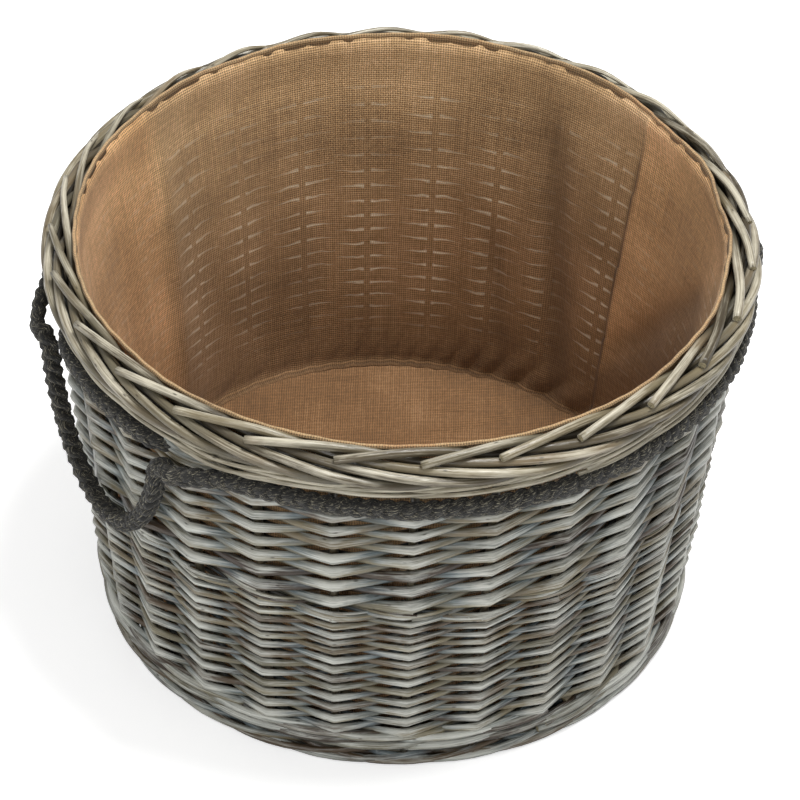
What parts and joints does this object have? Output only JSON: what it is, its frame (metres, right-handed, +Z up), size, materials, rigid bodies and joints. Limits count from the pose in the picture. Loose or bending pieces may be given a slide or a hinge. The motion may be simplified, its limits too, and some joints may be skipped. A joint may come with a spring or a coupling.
{
  "type": "storage basket",
  "caption": "Round tapered wicker storage basket with a rolled border of bent stakes, a cloth lining and rope handles that hang as loops at the sides.",
  "frame": {"origin": "on the floor under the centre of the round base", "axes": "+Z up along the basket's axis, -Y towards the side that the picture shows, +X to the right in that view"},
  "size_m": [0.589, 0.5752, 0.3619],
  "materials": {
    "stake_willow": "grey-washed willow rod, worn to show cream wood",
    "weave_willow": "woven willow with a grey wash, brown in the gaps",
    "thin_willow": "thin pale willow rods with a grey wash",
    "base_willow": "thick willow sticks and base weave, grey-brown",
    "rope": "charcoal plaited cotton rope, matt and slightly hairy",
    "hessian": "coarse brown hessian, plain weave, matt"
  },
  "bodies": {
    "basket": {"stake_01": "stake_willow", "stake_02": "stake_willow", "stake_03": "stake_willow", "stake_04": "stake_willow", "stake_05": "stake_willow", "stake_06": "stake_willow", "stake_07": "stake_willow", "stake_08": "stake_willow", "stake_09": "stake_willow", "stake_10": "stake_willow", "stake_11": "stake_willow", "stake_12": "stake_willow", "stake_13": "stake_willow", "stake_14": "stake_willow", "stake_15": "stake_willow", "stake_16": "stake_willow", "stake_17": "stake_willow", "stake_18": "stake_willow", "stake_19": "stake_willow", "stake_20": "stake_willow", "stake_21": "stake_willow", "stake_22": "stake_willow", "stake_23": "stake_willow", "stake_24": "stake_willow", "stake_25": "stake_willow", "stake_26": "stake_willow", "stake_27": "stake_willow", "base_stick_1": "base_willow", "base_stick_2": "base_willow", "base_stick_3": "base_willow", "base_stick_4": "base_willow", "base_stick_5": "base_willow", "base_stick_6": "base_willow", "base_stick_7": "base_willow", "base_stick_8": "base_willow", "base_weave": "base_willow", "foot_border": "weave_willow", "upset_wale": "weave_willow", "lower_side_weave": "weave_willow", "upper_side_weave": "weave_willow", "top_wale": "thin_willow", "lining_wall": "hessian", "lining_floor": "hessian", "rope_front": "rope", "rope_back": "rope", "rope_bridge_left": "rope", "rope_bridge_right": "rope"},
    "left_handle": {"rope_handle_left": "rope"},
    "right_handle": {"rope_handle_right": "rope"}
  },
  "joints": [
    {"name": "left_handle_swing", "type": "hinge", "parent": "basket", "child": "left_handle", "pos_m": [-0.23021, -0.15141, 0.3007], "axis": [-0.5495, 0.8355, 0], "range_deg": [0, 160]},
    {"name": "right_handle_swing", "type": "hinge", "parent": "basket", "child": "right_handle", "pos_m": [0.23021, 0.15141, 0.3007], "axis": [0.5495, -0.8355, 0], "range_deg": [0, 160]}
  ]
}
